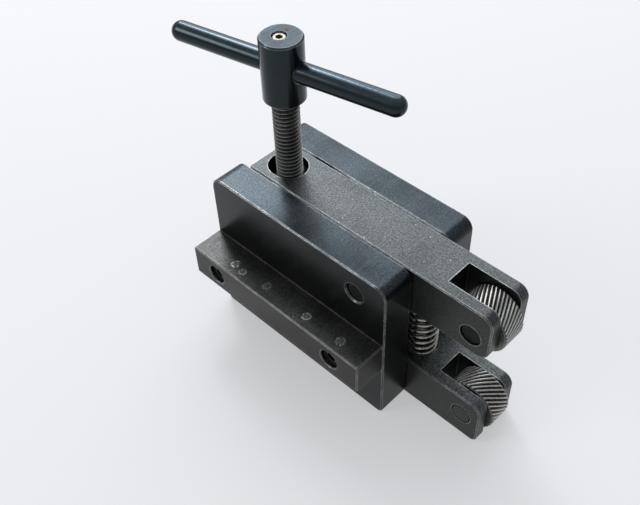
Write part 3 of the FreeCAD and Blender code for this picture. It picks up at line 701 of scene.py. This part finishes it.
class KNURLING_OT_handle(Operator):
    """Finish the hub and the tommy bar in blue-black oxide, and the set screw bare"""

    bl_idname = "knurling.handle"
    bl_label = "Handle"

    def execute(self, context):
        colours = context.scene.steel_colours
        material, tree, shader = steel(
            "Blued handle steel", colours.handle, 0.16, grain=0.6, wear_and_highlight=0.5, mottle=0.15,
            speck_share=0.08, spread=0.06, pepper=0.25, sides=0.9,
        )
        rust_place, rust_radius = (-24.7 * MM, 32.4 * MM, HUB_HIGH.z), 1.3 * MM
        spot = place_group(
            tree, "Screw Print", {"Centre": rust_place, "Radius": rust_radius}
        ).outputs["Dish"]
        lay_dirt(tree, shader, spot, colours.rust)
        for node in ("handle_hub", "tommy_bar"):
            coat(node, material)
        bare, _tree, _shader = steel("Bare set screw", colours.set_screw, 0.3, wear_and_highlight=0.2)
        coat("hub_set_screw", bare)
        return {"FINISHED"}


# ---- table, lamps and camera -----------------------------------------------------------------


class KNURLING_OT_stage(Operator):
    """Set the pale table, the soft lamps and the camera"""

    bl_idname = "knurling.stage"
    bl_label = "Stage"

    # each soft lamp's place and size in metres, and its power in watts
    lamps = (
        ("Window", (-0.56, 0.66, 0.85), 1.2, 8.0),
        ("Strip", (-0.75, 0.45, 0.95), 0.3, 3.4),
        ("Fill", (-0.60, -0.80, 0.62), 0.4, 2.0),
    )

    def execute(self, context):
        scene, stage = context.scene, context.scene.stage_settings
        table = stage.table[:] + (1.0,)

        shape = bmesh.new()
        bmesh.ops.create_grid(shape, x_segments=1, y_segments=1, size=3.0)
        bmesh.ops.translate(shape, verts=shape.verts, vec=(0, 0, CAD_BOX[0][2]))
        material = bpy.data.materials.new("Pale table")
        material.use_nodes = True
        tree = material.node_tree
        shader = tree.nodes["Principled BSDF"]
        shader.inputs["Base Color"].default_value = table
        shader.inputs["Roughness"].default_value = 0.9
        shader.inputs["Specular IOR Level"].default_value = 0.2
        glow = add(tree, "Emission", {"Color": table, "Strength": 1.0})
        path = add(tree, "LightPath").outputs
        seen = maths(tree, "MAXIMUM", path["Is Camera Ray"], path["Is Glossy Ray"])
        lit = add(tree, "MixShader", {
            0: maths(tree, "MULTIPLY", seen, stage.glow), 1: shader.outputs[0], 2: glow.outputs[0],
        })
        tree.links.new(lit.outputs[0], tree.nodes["Material Output"].inputs["Surface"])
        floor = finish_mesh("table", shape, material)

        world = scene.world or bpy.data.worlds.new("Studio")
        scene.world = world
        world.use_nodes = True
        tree = world.node_tree
        tree.nodes.clear()
        path = add(tree, "LightPath").outputs["Is Camera Ray"]
        room = add(tree, "Background", {"Color": (0.90, 0.94, 1.0, 1.0), "Strength": stage.room})
        backdrop = add(tree, "Background", {"Color": table, "Strength": 1.0})
        both = add(tree, "MixShader", {0: path, 1: room.outputs[0], 2: backdrop.outputs[0]})
        sink = add(tree, "OutputWorld")
        tree.links.new(both.outputs[0], sink.inputs["Surface"])

        target = Vector((0.0, 0.02, 0.02))
        for name, place, size, power in self.lamps:
            lamp = bpy.data.lights.new(name, "AREA")
            lamp.energy, lamp.size = power, size
            lamp.color = (0.95, 0.98, 1.0)
            holder = bpy.data.objects.new(name, lamp)
            aim = (target - Vector(place)).to_track_quat("-Z", "Y")
            holder.matrix_world = Matrix.Translation(place) @ aim.to_matrix().to_4x4()
            scene.collection.objects.link(holder)

        eye = bpy.data.cameras.new("Camera")
        eye.sensor_width, eye.lens = 36.0, stage.lens
        camera = bpy.data.objects.new("Camera", eye)
        camera.location, camera.rotation_euler = stage.camera_place, stage.camera_turn
        scene.collection.objects.link(camera)
        scene.camera = camera
        scene.view_settings.view_transform = "Standard"
        return {"FINISHED"}


class KNURLING_PT_finish(Panel):
    """Lists the tool's pieces, with their sizes and colours"""

    bl_label = "Knurling Tool"
    bl_idname = "KNURLING_PT_finish"
    bl_space_type = "VIEW_3D"
    bl_region_type = "UI"
    bl_category = "Knurling Tool"

    def draw(self, context):
        for attribute, (_kind, title) in SETTINGS.items():
            settings = getattr(context.scene, attribute)
            box = self.layout.box()
            box.label(text=title)
            for name in settings.bl_rna.properties.keys():
                if name not in ("rna_type", "name"):
                    box.prop(settings, name)
        for operator in OPERATORS:
            self.layout.operator(operator.bl_idname)


OPERATORS = (
    KNURLING_OT_clamp_thread,
    KNURLING_OT_opening_spring,
    KNURLING_OT_cheeks,
    KNURLING_OT_shank,
    KNURLING_OT_arms,
    KNURLING_OT_wheels,
    KNURLING_OT_pins,
    KNURLING_OT_handle,
    KNURLING_OT_stage,
)
SETTINGS = {
    "thread_sizes": (ThreadSizes, "Thread"),
    "spring_sizes": (SpringSizes, "Spring"),
    "steel_colours": (SteelColours, "Colours"),
    "wear_sizes": (WearSizes, "Wear"),
    "stage_settings": (StageSettings, "Stage"),
}


def register():
    for attribute, (kind, _title) in SETTINGS.items():
        bpy.utils.register_class(kind)
        setattr(bpy.types.Scene, attribute, PointerProperty(type=kind))
    for kind in OPERATORS + (KNURLING_PT_finish,):
        bpy.utils.register_class(kind)


def unregister():
    for kind in reversed(OPERATORS + (KNURLING_PT_finish,)):
        bpy.utils.unregister_class(kind)
    for attribute, (kind, _title) in SETTINGS.items():
        delattr(bpy.types.Scene, attribute)
        bpy.utils.unregister_class(kind)


def main():
    register()
    for make_group in (make_edge_wear_and_highlight, make_ground_grain, make_specks, make_screw_print):
        make_group()
    for operator in OPERATORS:
        category, name = operator.bl_idname.split(".")
        getattr(getattr(bpy.ops, category), name)()


if __name__ == "__main__":
    main()
